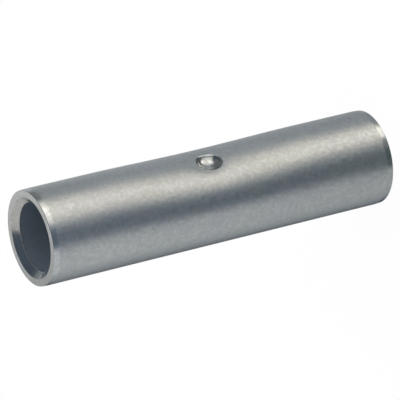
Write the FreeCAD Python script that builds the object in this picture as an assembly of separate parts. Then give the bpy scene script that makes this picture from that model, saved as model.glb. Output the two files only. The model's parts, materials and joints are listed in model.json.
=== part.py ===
import FreeCAD, Part
import math
import os

# Butt splice sleeve, drawn in millimetres: one seamless metal tube that joins
# two cable ends. It stands on its lower end, with its axis along Z and the
# origin in the middle of its foot. The stop that is punched into its wall half
# way up faces the front, along -Y.

# The tube
tube_length = 40.0
outer_radius = 5.0
bore_radius = 3.6
# The mouths flare at 45 degrees, and the outer edges are turned to a fine taper.
mouth_flare = 0.65
taper_length = 0.6
taper_drop = 0.04
edge_break = 0.03
# The punch that makes the stop also draws in the wall around it, less inside.
hollow_depth = 0.35
hollow_half_angle = 75.0
hollow_half_length = 12.5
inner_hollow_half_length = 9.0
# The stop is the mark of a ball-ended punch outside and a blunter boss inside.
stop_dome_radius = 1.8
stop_depth = 0.84
stop_floor = 1.3
boss_dome_radius = 2.4
rim_rounding = 0.15
root_rounding = 0.4

# How finely the pressed part of the skin is divided, both ways
skin_spans = 12
skin_degree = 4

# Places that follow from the sizes
stop_height = tube_length / 2
wall = outer_radius - bore_radius

FOOT = FreeCAD.Vector(0, 0, 0)
MIDDLE = FreeCAD.Vector(0, 0, stop_height)
UP = FreeCAD.Vector(0, 0, 1)
ACROSS = FreeCAD.Vector(1, 0, 0)
TO_FRONT = FreeCAD.Vector(0, -1, 0)


def on_round(radius, angle, height):
    """A point at a radius from the tube's axis, its angle counted from the front."""
    return FreeCAD.Vector(radius * math.sin(angle), -radius * math.cos(angle), height)


def divided(curve):
    """The same curve with more control points, so that its middle can be moved."""
    curve.increaseDegree(skin_degree)
    inner_knots = [i / skin_spans for i in range(1, skin_spans)]
    curve.insertKnots(inner_knots, [1] * len(inner_knots), 1e-9, False)
    return curve


def skin_surface(radius, half_reach, depth):
    """The front of a cylinder with its control points drawn in towards the axis.

    The two outermost rows on each side stay where the cylinder has them, so the
    hollow runs out into the plain tube without an edge.
    """
    half_angle = math.radians(hollow_half_angle)
    arc_points = [
        on_round(radius, -half_angle, 0),
        on_round(radius / math.cos(half_angle), 0, 0),
        on_round(radius, half_angle, 0),
    ]
    arc_weights = [1.0, math.cos(half_angle), 1.0]
    arc = Part.BSplineCurve()
    arc.buildFromPolesMultsKnots(arc_points, [3, 3], [0.0, 1.0], False, 2, arc_weights)
    arc = divided(arc)

    line_points = [MIDDLE - UP * half_reach, MIDDLE + UP * half_reach]
    line = Part.BSplineCurve()
    line.buildFromPolesMultsKnots(line_points, [2, 2], [0.0, 1.0], False, 1)
    line = divided(line)

    rows = []
    weights = []
    for i, (pole, weight) in enumerate(zip(arc.getPoles(), arc.getWeights())):
        angle = math.atan2(pole.x, -pole.y)
        pole_radius = math.hypot(pole.x, pole.y)
        share_round = math.cos(math.pi / 2 * angle / half_angle) ** 2
        row = []
        for j, station in enumerate(line.getPoles()):
            from_middle = (station.z - stop_height) / half_reach
            share_along = math.cos(math.pi / 2 * from_middle) ** 2
            rows_from_side = min(i, arc.NbPoles - 1 - i, j, line.NbPoles - 1 - j)
            push = depth * share_round * share_along if rows_from_side > 1 else 0.0
            row.append(on_round(pole_radius - push, angle, station.z))
        rows.append(row)
        weights.append([weight] * line.NbPoles)

    surface = Part.BSplineSurface()
    surface.buildFromPolesMultsKnots(
        rows,
        arc.getMultiplicities(),
        line.getMultiplicities(),
        arc.getKnots(),
        line.getKnots(),
        False,
        False,
        skin_degree,
        skin_degree,
        weights,
    )
    return surface


def pressed_rod(radius, half_reach):
    """A solid rod, centred on the stop's height, with the hollow drawn in at its front."""
    # A surface stays short of its control points, so they are moved further.
    trial = skin_surface(radius, half_reach, hollow_depth)
    reached_depth = radius + trial.value(0.5, 0.5).y
    pole_depth = hollow_depth * hollow_depth / reached_depth
    front = skin_surface(radius, half_reach, pole_depth).toShape()

    side_angle = math.radians(hollow_half_angle)
    low = stop_height - half_reach
    high = stop_height + half_reach
    side = Part.makeLine(on_round(radius, side_angle, low), on_round(radius, side_angle, high))
    # Kept as a free-form face too, so the plain tube above and below has its own face.
    back = side.revolve(FOOT, UP, 360 - 2 * hollow_half_angle).toNurbs()

    faces = [front, back]
    for height in (low, high):
        rim = []
        for edge in front.Edges + back.Edges:
            if all(abs(vertex.Point.z - height) < 1e-6 for vertex in edge.Vertexes):
                rim.append(edge)
        faces.append(Part.Face(Part.Wire(Part.sortEdges(rim)[0])))
    shell = Part.Shell(faces)
    shell.sewShape()
    return Part.Solid(shell)


def turned(outline):
    """The solid swept about the tube's axis by an outline of (radius, height) corners."""
    corners = [FreeCAD.Vector(radius, 0, height) for radius, height in outline]
    face = Part.Face(Part.makePolygon(corners + corners[:1]))
    return face.revolve(FOOT, UP, 360)


def with_ends(rod, upper_end):
    """A rod joined to its upper end and to the same end turned over at the bottom."""
    lower_end = upper_end.copy()
    lower_end.rotate(MIDDLE, ACROSS, 180)
    return rod.fuse([upper_end, lower_end]).removeSplitter()


def ball_cap(radius, nose_at, base_at):
    """A ball on the stop's axis, cut off flat, placed by distances from the tube's axis."""
    centre_at = nose_at + radius
    centre = MIDDLE + TO_FRONT * centre_at
    base_latitude = math.degrees(math.asin((base_at - centre_at) / radius))
    return Part.makeSphere(radius, centre, TO_FRONT, -90, base_latitude, 360)


def touches(points, form):
    """Whether all the points lie on the skin of a form."""
    skin = form.Shells[0]
    return all(skin.distToShape(Part.Vertex(point))[0] < 1e-3 for point in points)


def edges_where_met(solid, first, second):
    """The solid's edges that lie on the skins of two forms it was made from."""
    found = []
    for edge in solid.Edges:
        # The pole of a ball is an edge without length.
        if edge.Degenerated:
            continue
        points = edge.discretize(5)
        if touches(points, first) and touches(points, second):
            found.append(edge)
    return found


# The outside: the pressed middle between two ends with a fine taper and a broken edge
end_radius = outer_radius - taper_drop
outer_end = turned([
    (0, stop_height + hollow_half_length),
    (outer_radius, stop_height + hollow_half_length),
    (outer_radius, tube_length - taper_length),
    (end_radius, tube_length - edge_break),
    (end_radius - edge_break, tube_length),
    (0, tube_length),
])
outside = with_ends(pressed_rod(outer_radius, hollow_half_length), outer_end)

# The bore: the hollow shows in it too, and its flares run out past both end faces
bore_end = turned([
    (0, stop_height + inner_hollow_half_length),
    (bore_radius, stop_height + inner_hollow_half_length),
    (bore_radius, tube_length - mouth_flare),
    (bore_radius + mouth_flare + wall, tube_length + wall),
    (0, tube_length + wall),
])
bore = with_ends(pressed_rod(bore_radius, inner_hollow_half_length), bore_end)
sleeve = outside.cut(bore)

# The stop: the boss that keeps each cable to its half, and the dimple in front of it
dimple_nose_at = outer_radius - hollow_depth - stop_depth
dimple_mouth_at = outer_radius + wall / 2
boss_nose_at = dimple_nose_at - stop_floor
boss_base_at = bore_radius - hollow_depth + wall / 2
boss = ball_cap(boss_dome_radius, boss_nose_at, boss_base_at)
sleeve = sleeve.fuse(boss)
dimple = ball_cap(stop_dome_radius, dimple_nose_at, dimple_mouth_at)
sleeve = sleeve.cut(dimple)

# Roundings: the dimple's rim and the boss's root
sleeve = sleeve.makeFillet(rim_rounding, edges_where_met(sleeve, dimple, outside))
sleeve = sleeve.makeFillet(root_rounding, edges_where_met(sleeve, boss, bore))

os.makedirs("parts", exist_ok=True)
sleeve.exportStep("parts/splice_sleeve.step")
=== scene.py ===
import json
import math

import bpy
import numpy as np
from mathutils import Matrix, Vector


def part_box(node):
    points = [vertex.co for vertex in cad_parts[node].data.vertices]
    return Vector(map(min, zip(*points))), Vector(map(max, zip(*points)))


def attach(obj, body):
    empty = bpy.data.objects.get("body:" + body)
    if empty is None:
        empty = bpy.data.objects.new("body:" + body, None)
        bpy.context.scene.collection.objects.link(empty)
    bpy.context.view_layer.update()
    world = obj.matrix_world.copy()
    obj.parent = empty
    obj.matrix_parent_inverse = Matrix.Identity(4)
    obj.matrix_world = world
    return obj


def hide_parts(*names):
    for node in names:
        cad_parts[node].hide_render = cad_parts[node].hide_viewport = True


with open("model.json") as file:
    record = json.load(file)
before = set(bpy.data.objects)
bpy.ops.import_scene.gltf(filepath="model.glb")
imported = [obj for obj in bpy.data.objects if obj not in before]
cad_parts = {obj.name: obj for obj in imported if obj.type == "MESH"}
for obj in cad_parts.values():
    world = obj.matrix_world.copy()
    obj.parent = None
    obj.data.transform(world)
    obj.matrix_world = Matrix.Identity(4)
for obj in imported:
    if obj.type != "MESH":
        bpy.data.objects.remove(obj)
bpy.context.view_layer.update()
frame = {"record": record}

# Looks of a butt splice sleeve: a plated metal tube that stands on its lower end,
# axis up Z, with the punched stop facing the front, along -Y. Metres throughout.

MM = 0.001

# ---------------------------------------------------------------- sizes

# The sleeve, read from the solid and its interfaces
sleeve_low, sleeve_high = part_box("splice_sleeve")
tube_length = sleeve_high[2] - sleeve_low[2]
outer_radius = (sleeve_high[0] - sleeve_low[0]) / 2
sockets = [mount for mount in frame["record"]["mounts"] if mount["kind"] == "bore"]
bore_radius = sockets[0]["dims"]["r_mm"] * MM
stop_height = tube_length / 2

# The turned ends: a flare at each mouth, a fine taper outside and a broken edge
mouth_flare = 0.65 * MM
taper_length = 0.6 * MM
taper_drop = 0.04 * MM
edge_break = 0.03 * MM
taper_rounding = 4.0 * MM
edge_rounding = 0.03 * MM
mouth_rounding = 0.04 * MM
throat_rounding = 0.006 * MM

# The hollow that the punch draws in, outside and in the bore
hollow_depth = 0.35 * MM
hollow_half_angle = math.radians(75)
hollow_half_length = 12.5 * MM
inner_hollow_half_length = 9.0 * MM

# The stop: the mark of a ball-ended punch outside, a blunter boss in the bore
stop_dome_radius = 1.69 * MM
stop_depth = 0.87 * MM
stop_floor = 1.27 * MM
boss_dome_radius = 2.4 * MM
# The punch has landed a hair below the middle and to the left.
mark_aside = -0.03 * MM
mark_height = stop_height - 0.11 * MM
# Round the mark the wall leans in to a soft lip.
lip_end_radius = 3.4 * MM
lip_reach = 1.95 * MM
lip_depth = 0.15 * MM
rim_softness = 0.10 * MM
root_softness = 0.12 * MM
dimple_nose_at = outer_radius - hollow_depth - stop_depth
boss_nose_at = dimple_nose_at - stop_floor

# Where the finishes begin: the turned ends, the burnished mark, and the painted shade in the
# bore
turned_softness = 0.06 * MM
burnish_radius = 1.42 * MM
burnish_softness = 0.12 * MM
mark_clear_of_ends = 10 * MM
# The bore's painted shade: how near the bore a point counts as in it, the share at the throat,
# and the depth over which it grows to full
bore_skin = 0.01 * MM
bore_shade_at_throat = 0.45
bore_shade_softness = 0.5 * MM

# How finely the skin is divided
columns = 216
corner_steps = 6
wall_steps = 40
face_steps = 6
patch_rows = 30
patch_half_height = 3.6 * MM
patch_half_columns = 28
row_tolerance = 1e-4 * MM
# The rings in a patch are circles out to these radii, and then follow its border.
dimple_circle = 2.25 * MM
boss_circle = 2.1 * MM
ring_step = 0.05 * MM
border_rings = 8
# Passes in which a wall is worked out, and the part of a ball that is kept round
wall_passes = 6
ball_share = 0.9


# ---------------------------------------------------------------- the sleeve's section


def spaced(start, end, steps):
    """Points on a straight run from start to end, both included, closest near its two ends.

    The share of the way is (1 - cos(pi k / steps)) / 2 at step k.
    """
    share = (1 - np.cos(np.linspace(0, math.pi, steps + 1))) / 2
    return np.array(start) + share[:, None] * (np.array(end) - np.array(start))


def rounded(before, corner, after, rounding):
    """An arc of the given radius in place of a corner of the section.

    The arc touches both sides of the corner. Its points turn evenly from one
    touching place to the other, about a centre on the corner's bisector.
    """
    before, corner, after = (np.array(point, float) for point in (before, corner, after))
    back = (before - corner) / np.linalg.norm(before - corner)
    ahead = (after - corner) / np.linalg.norm(after - corner)
    half = math.acos(back @ ahead) / 2
    middle = (back + ahead) / np.linalg.norm(back + ahead)
    centre = corner + middle * rounding / math.sin(half)
    reach = rounding / math.tan(half)
    first = corner + back * reach - centre
    last = corner + ahead * reach - centre
    sweep = math.pi - 2 * half
    turn = np.linspace(0, 1, corner_steps + 1)[:, None]
    return centre + (
        np.sin((1 - turn) * sweep) * first + np.sin(turn * sweep) * last
    ) / math.sin(sweep)


def end_section():
    """The section of the upper end, from the outer wall over the land into the bore."""
    corners = [
        (outer_radius, stop_height),
        (outer_radius, tube_length - taper_length),
        (outer_radius - taper_drop, tube_length - edge_break),
        (outer_radius - taper_drop - edge_break, tube_length),
        (bore_radius + mouth_flare, tube_length),
        (bore_radius, tube_length - mouth_flare),
        (bore_radius, stop_height),
    ]
    roundings = [taper_rounding, edge_rounding, edge_rounding, mouth_rounding, throat_rounding]
    arcs = [
        rounded(corners[i], corners[i + 1], corners[i + 2], rounding)
        for i, rounding in enumerate(roundings)
    ]
    runs = [arcs[0]]
    for before, after in zip(arcs, arcs[1:]):
        runs.append(spaced(before[-1], after[0], face_steps)[1:-1])
        runs.append(after)
    return np.vstack(runs)


def wall_section(start, end):
    """A straight wall of the section, with even rows where the stop's patch is let in."""
    radius = start[0]
    side = math.copysign(patch_half_height, end[1] - start[1])
    enter = (radius, stop_height - side)
    leave = (radius, stop_height + side)
    rows = np.linspace(enter, leave, patch_rows + 1)
    return np.vstack([
        spaced(start, enter, wall_steps)[1:-1],
        rows,
        spaced(leave, end, wall_steps)[1:-1],
    ])


def sleeve_section():
    """The whole closed section as rows of (radius, height): up the outside and down the bore."""
    upper = end_section()
    lower = np.column_stack([upper[::-1, 0], tube_length - upper[::-1, 1]])
    outside = wall_section(lower[-1], upper[0])
    bore = wall_section(upper[-1], lower[0])
    return np.vstack([outside, upper, bore, lower])


# ---------------------------------------------------------------- the pressed forms


def drawn_in(angle, height, half_length):
    """How far the punch has drawn the wall in at an angle from the front and a height.

    The depth is hollow_depth times the squared cosine of a quarter turn's share
    of the way to the hollow's edge, once round the tube and once along it.
    """
    share_round = np.clip(np.abs(angle) / hollow_half_angle, 0, 1)
    share_along = np.clip(np.abs(height - stop_height) / half_length, 0, 1)
    fade_round = np.cos(share_round * math.pi / 2) ** 2
    fade_along = np.cos(share_along * math.pi / 2) ** 2
    return hollow_depth * fade_round * fade_along


def wall_front(x, height, radius, half_length):
    """How far the drawn-in wall stands in front of the axis, at a place x to the side.

    The wall's radius there depends on the angle and the angle on the radius, so
    one is worked out from the other in a few passes.
    """
    local = np.full_like(x, radius)
    for _ in range(wall_passes):
        local = radius - drawn_in(np.arcsin(x / local), height, half_length)
    return np.sqrt(local**2 - x**2)


def ball_front(rho, radius, nose_at):
    """How far in front of the axis a ball's skin stands, rho from the ball's own axis.

    The ball ends at nose_at, so its skin stands at nose_at + r - sqrt(r^2 - rho^2).
    Further out than ball_share of its radius it goes on straight at its slope there.
    """
    inner = np.minimum(rho, ball_share * radius)
    root = np.sqrt(radius**2 - inner**2)
    return nose_at + radius - root + (rho - inner) * inner / root


def nearer(a, b, softness):
    """The smaller of two distances, with the edge where they cross rounded over.

    Within the softness of each other they are mixed by share s and the mix is
    lowered by softness * s * (1 - s).
    """
    share = np.clip(0.5 + 0.5 * (b - a) / softness, 0, 1)
    return b + share * (a - b) - softness * share * (1 - share)


def from_mark(x, height):
    """The distance from the axis of the ball's mark, across the front."""
    return np.hypot(x - mark_aside, height - mark_height)


def dimple_front(x, height):
    """The outside's front with the ball's mark in it.

    Round the mark the wall leans in by lip_depth times the square of the share
    of the way from lip_end_radius inwards, over lip_reach.
    """
    from_middle = np.hypot(x, height - stop_height)
    lip = np.clip((lip_end_radius - from_middle) / lip_reach, 0, 1)
    wall = wall_front(x, height, outer_radius, hollow_half_length) - lip_depth * lip**2
    ball = ball_front(from_mark(x, height), stop_dome_radius, dimple_nose_at)
    return nearer(wall, ball, rim_softness)


def boss_front(x, height):
    """The bore's front with the boss standing on it."""
    from_middle = np.hypot(x, height - stop_height)
    wall = wall_front(x, height, bore_radius, inner_hollow_half_length)
    return nearer(wall, ball_front(from_middle, boss_dome_radius, boss_nose_at), root_softness)


# ---------------------------------------------------------------- the skin

no_fans = np.zeros((0, 3), int)


def revolved(section):
    """Points of the section carried round the axis, the walls drawn in by the punch.

    A point is (r sin a, -r cos a, z), with a counted from the front and r the
    section's radius less drawn_in(a, z). Returns an array of rows by columns.
    """
    angle = (np.arange(columns) / columns - 0.5) * 2 * math.pi
    radius, height = section[:, :1], section[:, 1:]
    outside = radius > (outer_radius + bore_radius) / 2
    half_length = np.where(outside, hollow_half_length, inner_hollow_half_length)
    local = radius - drawn_in(angle, height, half_length)
    return np.stack(
        [local * np.sin(angle), -local * np.cos(angle), np.broadcast_to(height, local.shape)],
        axis=-1,
    )


def grid_faces(rows, keep):
    """Quads of a grid closed both ways, facing outwards, where keep is true."""
    index = np.arange(rows * columns).reshape(rows, columns)
    above = np.roll(index, -1, axis=0)
    quads = np.stack(
        [index, np.roll(index, -1, axis=1), np.roll(above, -1, axis=1), above], axis=-1
    )
    return quads[keep]


def border_loop(row_first, row_last):
    """Grid numbers of the points round a patch at the front, in turning order."""
    middle = columns // 2
    across = np.arange(middle - patch_half_columns, middle + patch_half_columns + 1)
    along = np.arange(row_first, row_last + 1)
    return np.concatenate([
        along[0] * columns + across[:-1],
        along[:-1] * columns + across[-1],
        along[-1] * columns + across[:0:-1],
        along[:0:-1] * columns + across[0],
    ])


def let_in(points, loop, front, centre, circle_radius):
    """Rings that fill a patch from its border to a pole, on the surface front(x, height).

    Each ring's points keep the direction of the border's points from the centre.
    The rings are circles out to circle_radius and then spread evenly to the
    border. Returns the new points and the faces, numbered after points.
    """
    border = points[loop]
    flat = border[:, [0, 2]] - centre
    direction = flat / np.linalg.norm(flat, axis=1)[:, None]
    circles = np.arange(circle_radius, ring_step / 2, -ring_step)
    share = np.linspace(1, 0, border_rings, endpoint=False)[1:, None, None]
    outer_rings = share * flat + (1 - share) * circle_radius * direction
    rings = np.concatenate([outer_rings, circles[:, None, None] * direction])
    x = np.append(rings[..., 0].ravel(), 0.0) + centre[0]
    height = np.append(rings[..., 1].ravel(), 0.0) + centre[1]
    fresh = np.column_stack([x, -front(x, height), height])

    first = len(points)
    numbers = first + np.arange(len(rings) * len(loop)).reshape(len(rings), len(loop))
    numbers = np.vstack([loop, numbers])
    following = np.roll(numbers, -1, axis=1)
    quads = np.stack([numbers[:-1], following[:-1], following[1:], numbers[1:]], axis=-1)
    pole = np.full(len(loop), first + len(fresh) - 1)
    fan = np.column_stack([numbers[-1], following[-1], pole])
    return fresh, quads.reshape(-1, 4), fan


def skin_mesh(name, points, quads, fans=no_fans):
    """A smooth-shaded mesh from arrays of points, four-sided and three-sided faces."""
    mesh = bpy.data.meshes.new(name)
    corners = np.concatenate([quads.ravel(), fans.ravel()])
    starts = np.concatenate([
        np.arange(len(quads)) * 4,
        len(quads) * 4 + np.arange(len(fans)) * 3,
    ])
    mesh.vertices.add(len(points))
    mesh.vertices.foreach_set("co", points.astype(np.float32).ravel())
    mesh.loops.add(len(corners))
    mesh.loops.foreach_set("vertex_index", corners.astype(np.int32))
    mesh.polygons.add(len(starts))
    mesh.polygons.foreach_set("loop_start", starts.astype(np.int32))
    mesh.polygons.foreach_set("use_smooth", np.ones(len(starts), bool))
    mesh.update(calc_edges=True)
    mesh.validate()
    return mesh


def paint(mesh, name, values):
    """Stores one number for each point of a mesh, for its material to read."""
    attribute = mesh.attributes.new(name, "FLOAT", "POINT")
    attribute.data.foreach_set("value", values.astype(np.float32))


def paint_finishes(mesh, points):
    """Stores how far each point of the sleeve is turned, pressed or inside the bore.

    Each share runs straight from 0 to 1 over its own softness: turned towards the
    ends, pressed towards the stop's axis, and inside with the depth in the bore.
    The inside share carries painted shade: the bore darker and bluer inwards.
    """
    from_axis = np.hypot(points[:, 0], points[:, 1])
    from_end = np.minimum(points[:, 2], tube_length - points[:, 2])
    turned = np.clip((taper_length + turned_softness - from_end) / turned_softness, 0, 1)

    front_side = (points[:, 1] < 0) & (from_end > mark_clear_of_ends)
    rho = from_mark(points[:, 0], points[:, 2])
    pressed = np.clip((burnish_radius - rho) / burnish_softness, 0, 1) * front_side

    in_bore = from_axis < bore_radius + bore_skin
    in_dimple = (pressed > 0) & (from_axis > (boss_nose_at + dimple_nose_at) / 2)
    # Painted shade in the bore, from part strength at the throat to full further in
    shade_in_bore = np.clip(bore_shade_at_throat + (from_end - mouth_flare) / bore_shade_softness, 0, 1)
    inside = shade_in_bore * (in_bore & ~in_dimple)

    paint(mesh, "turned", turned * (1 - inside))
    paint(mesh, "pressed", pressed)
    paint(mesh, "inside", inside)


def sleeve_skin():
    """The whole sleeve: the revolved grid, with the dimple and the boss let into it."""
    section = sleeve_section()
    points = revolved(section).reshape(-1, 3)
    from_stop = np.abs(section[:, 1] - stop_height)
    in_patch = from_stop < patch_half_height + row_tolerance
    patches = [
        (outer_radius, dimple_front, (mark_aside, mark_height), dimple_circle),
        (bore_radius, boss_front, (0.0, stop_height), boss_circle),
    ]

    middle = columns // 2
    opening = slice(middle - patch_half_columns, middle + patch_half_columns)
    keep = np.ones((len(section), columns), bool)
    quads = []
    fans = []
    for radius, front, centre, circle in patches:
        rows = np.flatnonzero(np.isclose(section[:, 0], radius) & in_patch)
        keep[rows[0]:rows[-1], opening] = False
        loop = border_loop(rows[0], rows[-1])
        fresh, ring_quads, fan = let_in(points, loop, front, np.array(centre), circle)
        points = np.vstack([points, fresh])
        quads.append(ring_quads)
        fans.append(fan)
    quads.insert(0, grid_faces(len(section), keep))

    mesh = skin_mesh("splice_sleeve_skin", points, np.vstack(quads), np.vstack(fans))
    paint_finishes(mesh, points)
    return mesh


# ---------------------------------------------------------------- material tools


def new_tree(name):
    """An empty material and its node tree."""
    material = bpy.data.materials.new(name)
    material.use_nodes = True
    material.node_tree.nodes.clear()
    return material, material.node_tree


def add(tree, kind, settings=None, **inputs):
    """A node with its settings and the values or links of its inputs.

    An input's name has its spaces as underscores; input_0 is the first socket.
    """
    made = tree.nodes.new(kind)
    for name, value in (settings or {}).items():
        setattr(made, name, value)
    for name, value in inputs.items():
        if name.startswith("input_"):
            socket = made.inputs[int(name.removeprefix("input_"))]
        else:
            socket = made.inputs[name.replace("_", " ")]
        if isinstance(value, bpy.types.NodeSocket):
            tree.links.new(value, socket)
        else:
            socket.default_value = value
    return made


def worked_out(tree, operation, first, second=0.0, third=0.0):
    """The result of a Math node on up to three numbers or sockets."""
    made = add(
        tree, "ShaderNodeMath", {"operation": operation},
        input_0=first, input_1=second, input_2=third,
    )
    return made.outputs[0]


def times(tree, first, second):
    """The product of two numbers or sockets."""
    return worked_out(tree, "MULTIPLY", first, second)


def less(tree, first, second):
    """The first of two numbers or sockets less the second."""
    return worked_out(tree, "SUBTRACT", first, second)


def built_up(tree, base, steps):
    """The base, plus each step's pattern times the step's amount."""
    for pattern, amount in steps:
        base = worked_out(tree, "MULTIPLY_ADD", pattern, amount, base)
    return base


def held(tree, value):
    """The value kept from 0 to 1."""
    return add(tree, "ShaderNodeClamp", Value=value).outputs[0]


def mixed(tree, share, first, second, blend="MIX"):
    """Two colours mixed by a share of the second."""
    made = add(
        tree, "ShaderNodeMix", {"data_type": "RGBA", "blend_type": blend},
        input_0=share, input_6=first, input_7=second,
    )
    return made.outputs[2]


def noise(tree, place, scale, detail=2.0, roughness=0.5):
    """Smooth three-dimensional noise, from about 0 to 1, scale grains to the unit of place."""
    made = add(
        tree, "ShaderNodeTexNoise", {"noise_dimensions": "3D"},
        Vector=place, Scale=scale, Detail=detail, Roughness=roughness,
    )
    return made.outputs["Fac"]


def stretched(tree, place, factors):
    """The place with each of its three directions scaled."""
    made = add(
        tree, "ShaderNodeVectorMath", {"operation": "MULTIPLY"},
        input_0=place, input_1=factors,
    )
    return made.outputs[0]


def painted(tree, name):
    """A number stored for each point of the mesh."""
    return add(tree, "ShaderNodeAttribute", {"attribute_name": name}).outputs["Fac"]


# ---------------------------------------------------------------- the plated finish

# Patterns, in grains to the millimetre
grain_scale = 2.7
fine_grain_scale = 7.0
speckle_scale = 2.9
waviness_scale = 0.45
blotch_scale = 1.1
tinge_scale = 0.30
ring_scale = 1.6
# The grain is a little longer round the tube, and the waviness longer along it.
grain_squeeze = (0.85, 0.85, 1.0)
waviness_squeeze = (1.0, 1.0, 0.7)
# Rings hardly change round the tube, and fast with the distance from its axis or its end.
ring_across = 0.12
ring_closeness = 6.0
# A glint shows where the speckle passes this, and grows to its full strength so fast.
glint_from = 0.46
glint_growth = 5.0

# How high the patterns stand, in metres, and how far the burnished mark is smoothed
grain_height = 17.0e-6
fine_grain_height = 4.0e-6
waviness_height = 22.0e-6
ring_height = 6.0e-6
burnish_smoothing = -0.75

# The plain skin's roughness, and what each pattern and finish adds to it
plain_roughness = 0.32
grain_roughness = 0.12
glint_roughness = -0.08
turned_roughness = -0.16
burnished_roughness = -0.16
bore_roughness = 0.08

# The plain skin's shade, and what each pattern and finish adds to it
plain_shade = 0.89
blotch_shade = 0.16
grain_shade = 0.22
fine_grain_shade = 0.12
glint_shade = 0.08
# Painted shade: the bore is darkened by this
bore_painted_shade = -0.12
ring_shade = 0.5
turned_shade = 0.04

# The plating drifts slowly between two greys, and the bore has painted shade: a darker bluish
# grey.
greenish_grey = (0.652, 0.668, 0.63, 1.0)
bluish_grey = (0.645, 0.632, 0.66, 1.0)
bore_shade_colour = (0.30, 0.36, 0.43, 1.0)
# In the bore, along with its painted shade, the metal's own share of the look changes by this
bore_metallic = -0.35


def turned_rings(tree, place):
    """Fine rings about the tube's axis, on its end faces, its tapers and the lower flare.

    They are noise of (x, y) times ring_across and (r - z) times ring_closeness,
    with r the distance from the axis. Along the upper flare r - z stays the same,
    so that one is plain.
    """
    split = add(tree, "ShaderNodeSeparateXYZ", Vector=place)
    x, y, z = (split.outputs[axis] for axis in ("X", "Y", "Z"))
    squares = worked_out(tree, "ADD", times(tree, x, x), times(tree, y, y))
    from_axis = worked_out(tree, "SQRT", squares)
    ring_place = add(
        tree, "ShaderNodeCombineXYZ",
        X=times(tree, x, ring_across),
        Y=times(tree, y, ring_across),
        Z=times(tree, less(tree, from_axis, z), ring_closeness),
    ).outputs[0]
    return noise(tree, ring_place, ring_scale, roughness=0.6)


def tinned_metal():
    """Dull tin plating over drawn copper tube, cut and turned at its ends.

    The skin carries an almost even fine grain with small glints, a slow waviness,
    blotches and a slow tinge. The turned faces carry rings about the axis, the
    punched stop is burnished smooth, and the bore has painted shade, darker and
    bluer, with a duller metal.
    """
    material, tree = new_tree("tinned metal")
    coordinates = add(tree, "ShaderNodeTexCoord").outputs["Object"]
    place = stretched(tree, coordinates, (1 / MM, 1 / MM, 1 / MM))
    turned = painted(tree, "turned")
    pressed = painted(tree, "pressed")
    inside = painted(tree, "inside")

    grain_place = stretched(tree, place, grain_squeeze)
    grain = noise(tree, grain_place, grain_scale, roughness=0.55)
    fine_grain = noise(tree, place, fine_grain_scale, detail=1.0)
    speckle = noise(tree, place, speckle_scale, detail=1.2)
    glint = held(tree, times(tree, less(tree, speckle, glint_from), glint_growth))
    waviness_place = stretched(tree, place, waviness_squeeze)
    waviness = noise(tree, waviness_place, waviness_scale, detail=1.0)
    blotches = noise(tree, place, blotch_scale)
    rings = turned_rings(tree, place)

    # The grain stops at the turned faces and is pressed flat in the mark.
    skin_height = times(tree, grain, grain_height)
    skin_height = built_up(tree, skin_height, [(fine_grain, fine_grain_height)])
    skin_height = times(tree, skin_height, less(tree, 1.0, turned))
    smoothing = built_up(tree, 1.0, [(pressed, burnish_smoothing)])
    skin_height = times(tree, skin_height, smoothing)
    height = built_up(tree, skin_height, [
        (waviness, waviness_height), (times(tree, rings, turned), ring_height),
    ])
    bump = add(tree, "ShaderNodeBump", Strength=1.0, Distance=1.0, Height=height)

    roughness = built_up(tree, plain_roughness, [
        (grain, grain_roughness), (glint, glint_roughness), (turned, turned_roughness),
        (pressed, burnished_roughness), (inside, bore_roughness),
    ])

    # What lightens as much as it darkens is counted from its middle, 0.5. The inside share
    # paints shade into the bore.
    shade = built_up(tree, plain_shade, [
        (blotches, blotch_shade),
        (less(tree, grain, 0.5), grain_shade),
        (less(tree, fine_grain, 0.5), fine_grain_shade),
        (less(tree, glint, 0.5), glint_shade),
        (inside, bore_painted_shade),
        (times(tree, less(tree, rings, 0.5), turned), ring_shade),
        (turned, turned_shade),
    ])
    grey = add(tree, "ShaderNodeCombineColor", Red=shade, Green=shade, Blue=shade).outputs[0]
    tinge = mixed(tree, noise(tree, place, tinge_scale), greenish_grey, bluish_grey)
    colour = mixed(tree, 1.0, tinge, grey, "MULTIPLY")
    # Painted shade: towards the inside of the bore the colour turns to a darker bluish grey
    colour = mixed(tree, inside, colour, bore_shade_colour)

    metal = add(
        tree, "ShaderNodeBsdfPrincipled",
        Base_Color=colour, Metallic=built_up(tree, 1.0, [(inside, bore_metallic)]),
        Roughness=roughness, Normal=bump.outputs[0],
    )
    add(tree, "ShaderNodeOutputMaterial", Surface=metal.outputs[0])
    return material


# ---------------------------------------------------------------- the object

sleeve = bpy.data.objects.new("splice_sleeve_skin", sleeve_skin())
bpy.context.scene.collection.objects.link(sleeve)
sleeve.data.materials.append(tinned_metal())
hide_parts("splice_sleeve")
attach(sleeve, "root")

# ---------------------------------------------------------------- camera

# The photograph is taken from the front left and above, and rolled until the
# standing tube lies across the picture.
camera_azimuth = math.radians(-48.7)
camera_elevation = math.radians(27.14)
camera_roll = math.radians(-103.64)
camera_distance = 430.4 * MM
camera_aim = Vector((-0.048, 0.298, 20.320)) * MM
lens_mm = 377.5
sensor_mm = 36.0
nearest_seen = 0.01
furthest_seen = 5.0


def camera_axes():
    """The camera's right, up and back directions from its azimuth, elevation and roll."""
    back = Vector((
        math.sin(camera_azimuth) * math.cos(camera_elevation),
        -math.cos(camera_azimuth) * math.cos(camera_elevation),
        math.sin(camera_elevation),
    ))
    level = Vector((math.cos(camera_azimuth), math.sin(camera_azimuth), 0.0))
    upright = back.cross(level)
    right = level * math.cos(camera_roll) + upright * math.sin(camera_roll)
    return right, back.cross(right), back


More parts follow.
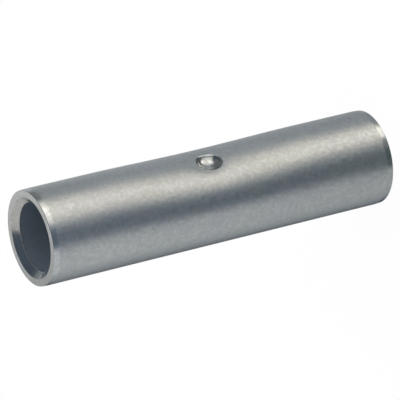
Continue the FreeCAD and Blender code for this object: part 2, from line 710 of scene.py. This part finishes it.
right, up, back = camera_axes()
camera = bpy.data.objects.new("camera", bpy.data.cameras.new("camera"))
camera.data.lens = lens_mm
camera.data.sensor_width = sensor_mm
camera.data.clip_start = nearest_seen
camera.data.clip_end = furthest_seen
turn = Matrix((right, up, back)).transposed().to_4x4()
camera.matrix_world = Matrix.Translation(camera_aim + back * camera_distance) @ turn
bpy.context.scene.collection.objects.link(camera)
bpy.context.scene.camera = camera

# ---------------------------------------------------------------- studio

white = (1.0, 1.0, 1.0, 1.0)

floor_half = 0.6
floor_drop = 0.01 * MM
# Where the floor is seen it is white by this share, and lit paper for the rest.
floor_glow = 0.95
floor_paper = (0.9, 0.9, 0.9, 1.0)

lamp_place = (0.05, -0.25, 0.6)
lamp_size = 0.6
lamp_power = 3.0
# The world lights the tube at this strength, and is white where it is seen.
world_light = 0.6

tent_radius = 0.12
tent_columns = 240
tent_rows = 120
# Towards the foot the cloth gets darker, by this share for each degree about a middle height.
cloth_fade = 0.0125
fade_middle = -27
fade_reach = 16

# The light tent's cards, in degrees round the tube from the camera's side towards
# the top of the picture, and in degrees of height, with the softness of their edges.
# A leaning card's lower and upper edges rise by its lean for each degree round.
# (name, from, to, lowest, highest, lean, softness, (red, green, blue))
cloth_ground = (0.345, 0.385, 0.42)
cloth_cards = [
    ("table", -114, -34, -90, 20, 0, 40, (0.505, 0.535, 0.55)),
    ("below", 20, 130, -100, -54, 0, 16, (0.12, 0.13, 0.14)),
    ("studio", -52, 134, 15, 110, 0, 8, (0.062, 0.082, 0.105)),
    ("studio, far side", 66, 98, 15, 40, 0, 8, (0.15, 0.165, 0.165)),
    ("studio side", 124, 147, -13, 30, 0, 5, (0.19, 0.21, 0.22)),
    ("studio side, near", 84, 126, -13, 30, 0, 5, (0.13, 0.14, 0.14)),
    ("back panel", 147, 182, 20, 50, 0, 6, (0.52, 0.53, 0.53)),
    ("back panel, low side", 182, 205, 20, 50, 0, 6, (0.25, 0.27, 0.29)),
    ("upper paper", 132, 168, -60, 4, 0, 16, (0.45, 0.48, 0.50)),
    ("rim light", 172, 184, -60, 8, 0, 20, (0.60, 0.61, 0.62)),
    ("edge shade", -148, -108, -21, 10, 0, 14, (0.30, 0.33, 0.355)),
    ("edge gap", -180, -138, -60, 5, 0, 30, (0.085, 0.10, 0.12)),
    ("side paper", -176, -50, -2, 90, 0, 20, (0.45, 0.447, 0.435)),
]
# The lamps behind the cloth do not fade towards the foot.
lamp_cards = [
    ("key, low half", 22, 76, -40, 0, -0.15, 9, (0.805, 0.786, 0.715)),
    ("key, high half", 24, 78, -20, 23, -0.45, 9, (0.805, 0.786, 0.715)),
    ("key foot", 35, 68, -43, -32, -0.15, 7, (1.58, 1.53, 1.39)),
    ("key foot, low side", 42, 67, -51, -38, -0.15, 7, (2.1, 2.03, 1.85)),
    ("key middle", 40, 61, -45, 0, -0.15, 20, (1.085, 1.065, 0.97)),
    ("core", 23, 72, -11, 14, 0, 12, (1.08, 1.07, 1.03)),
    ("lamp", 44, 64, -8, 8, 0, 10, (1.75, 1.74, 1.68)),
    ("key shade", 8, 34, -62, -45, 0, 6, (0.10, 0.11, 0.11)),
    ("gap", -36, 10, -85, 8, 0, 16, (0.118, 0.154, 0.20)),
    ("gap, low side", -36, 10, -85, -33, 0, 12, (0.093, 0.124, 0.125)),
]


def eased(value, start, end):
    """0 up to start, 1 from end on, and 3s^2 - 2s^3 in between, s being the share."""
    share = np.clip((value - start) / (end - start), 0, 1)
    return share * share * (3 - 2 * share)


def laid_over(tone, azimuth, elevation, cards):
    """The tones with each card laid over the ones before it."""
    for _, start, end, low, high, lean, softness, colour in cards:
        middle, half = (start + end) / 2, (end - start) / 2
        aside = (azimuth - middle + 180) % 360 - 180
        level = elevation - lean * aside
        mask = 1 - eased(np.abs(aside), half - softness / 2, half + softness / 2)
        mask = mask * eased(level, low - softness / 2, low + softness / 2)
        mask = mask * (1 - eased(level, high - softness / 2, high + softness / 2))
        tone = tone + mask[..., None] * (np.array(colour) - tone)
    return tone


def tent_tones(azimuth, elevation):
    """The tent's tone in every direction: the fading cloth and the lamps on it."""
    tone = np.broadcast_to(np.array(cloth_ground), azimuth.shape + (3,))
    tone = laid_over(tone, azimuth, elevation, cloth_cards)
    above_middle = np.clip(elevation - fade_middle, -fade_reach, fade_reach)
    tone = tone * (1 + cloth_fade * above_middle)[..., None]
    return laid_over(tone, azimuth, elevation, lamp_cards)


def light_tent():
    """A ball of soft cards about the tube, seen only where the metal mirrors it.

    A point is tent_radius times (cos e sin a, -cos e cos a, sin e) from the tube's
    middle, with a the angle round it and e the elevation.
    """
    azimuth = np.linspace(-180, 180, tent_columns, endpoint=False)
    elevation = np.linspace(-90, 90, tent_rows + 1)
    azimuth, elevation = np.meshgrid(azimuth, elevation)
    # Degrees round run from the camera's side towards the top of the picture.
    round_z = camera_azimuth + np.radians(azimuth)
    height = np.radians(elevation)
    points = tent_radius * np.stack(
        [np.cos(height) * np.sin(round_z), -np.cos(height) * np.cos(round_z), np.sin(height)],
        axis=-1,
    ) + np.array([0, 0, stop_height])
    index = np.arange(azimuth.size).reshape(azimuth.shape)
    following = np.roll(index, -1, axis=1)
    quads = np.stack([index[:-1], index[1:], following[1:], following[:-1]], axis=-1)
    mesh = skin_mesh("light_tent", points.reshape(-1, 3), quads.reshape(-1, 4))
    opaque = np.ones(azimuth.shape + (1,))
    tones = np.concatenate([tent_tones(azimuth, elevation), opaque], axis=-1)
    attribute = mesh.attributes.new("tone", "FLOAT_COLOR", "POINT")
    attribute.data.foreach_set("color", tones.astype(np.float32).ravel())
    return mesh


def tent_cloth():
    """Glows with the tone stored on the tent."""
    material, tree = new_tree("tent cloth")
    tone = add(tree, "ShaderNodeAttribute", {"attribute_name": "tone"}).outputs["Color"]
    glow = add(tree, "ShaderNodeEmission", Color=tone, Strength=1.0)
    add(tree, "ShaderNodeOutputMaterial", Surface=glow.outputs[0])
    material.cycles.emission_sampling = "NONE"
    return material


def sees_background(tree):
    """1 for a ray from the camera, a mirroring or a clear surface, and 0 for any other."""
    path = add(tree, "ShaderNodeLightPath").outputs
    seen = worked_out(tree, "ADD", path["Is Camera Ray"], path["Is Glossy Ray"])
    return held(tree, worked_out(tree, "ADD", seen, path["Is Transmission Ray"]))


def floor_sheet():
    """A square sheet, a hair below the tube's foot so that the two faces don't meet."""
    corners = np.array([(-1, -1, 0), (1, -1, 0), (1, 1, 0), (-1, 1, 0)]) * floor_half
    return skin_mesh("floor", corners - np.array([0, 0, floor_drop]), np.array([[0, 1, 2, 3]]))


def pale_floor():
    """White paper: plain white to the camera, with the object's shadow left on it."""
    material, tree = new_tree("white paper")
    paper = add(tree, "ShaderNodeBsdfDiffuse", Color=floor_paper)
    glow = add(tree, "ShaderNodeEmission", Color=white, Strength=1.0)
    both = add(
        tree, "ShaderNodeMixShader",
        input_0=times(tree, sees_background(tree), floor_glow),
        input_1=paper.outputs[0], input_2=glow.outputs[0],
    )
    add(tree, "ShaderNodeOutputMaterial", Surface=both.outputs[0])
    return material


def staged(name, mesh, material):
    """A part of the studio, linked into the scene."""
    made = bpy.data.objects.new(name, mesh)
    made.data.materials.append(material)
    bpy.context.scene.collection.objects.link(made)
    return made


def soft_lamp(name, place, size, power):
    """A square lamp of the given size that looks at the tube's middle."""
    data = bpy.data.lights.new(name, "AREA")
    data.shape = "SQUARE"
    data.size = size
    data.energy = power
    lamp = bpy.data.objects.new(name, data)
    lamp.location = place
    towards = Vector((0, 0, stop_height)) - Vector(place)
    lamp.rotation_euler = towards.to_track_quat("-Z", "Y").to_euler()
    bpy.context.scene.collection.objects.link(lamp)
    return lamp


def pale_world():
    """An even white world, weaker as a light than it is seen."""
    world = bpy.data.worlds.new("studio")
    world.use_nodes = True
    tree = world.node_tree
    tree.nodes.clear()
    strength = built_up(tree, world_light, [(sees_background(tree), 1 - world_light)])
    sky = add(tree, "ShaderNodeBackground", Color=white, Strength=strength)
    add(tree, "ShaderNodeOutputWorld", Surface=sky.outputs[0])
    return world


tent = staged("light_tent", light_tent(), tent_cloth())
tent.visible_camera = False
tent.visible_diffuse = False
tent.visible_transmission = False
tent.visible_shadow = False
tent.visible_volume_scatter = False

# The metal mirrors the tent and not the floor or the lamp.
floor = staged("floor", floor_sheet(), pale_floor())
floor.visible_glossy = False
overhead = soft_lamp("overhead lamp", lamp_place, lamp_size, lamp_power)
overhead.visible_glossy = False

bpy.context.scene.world = pale_world()
bpy.context.scene.view_settings.view_transform = "Standard"
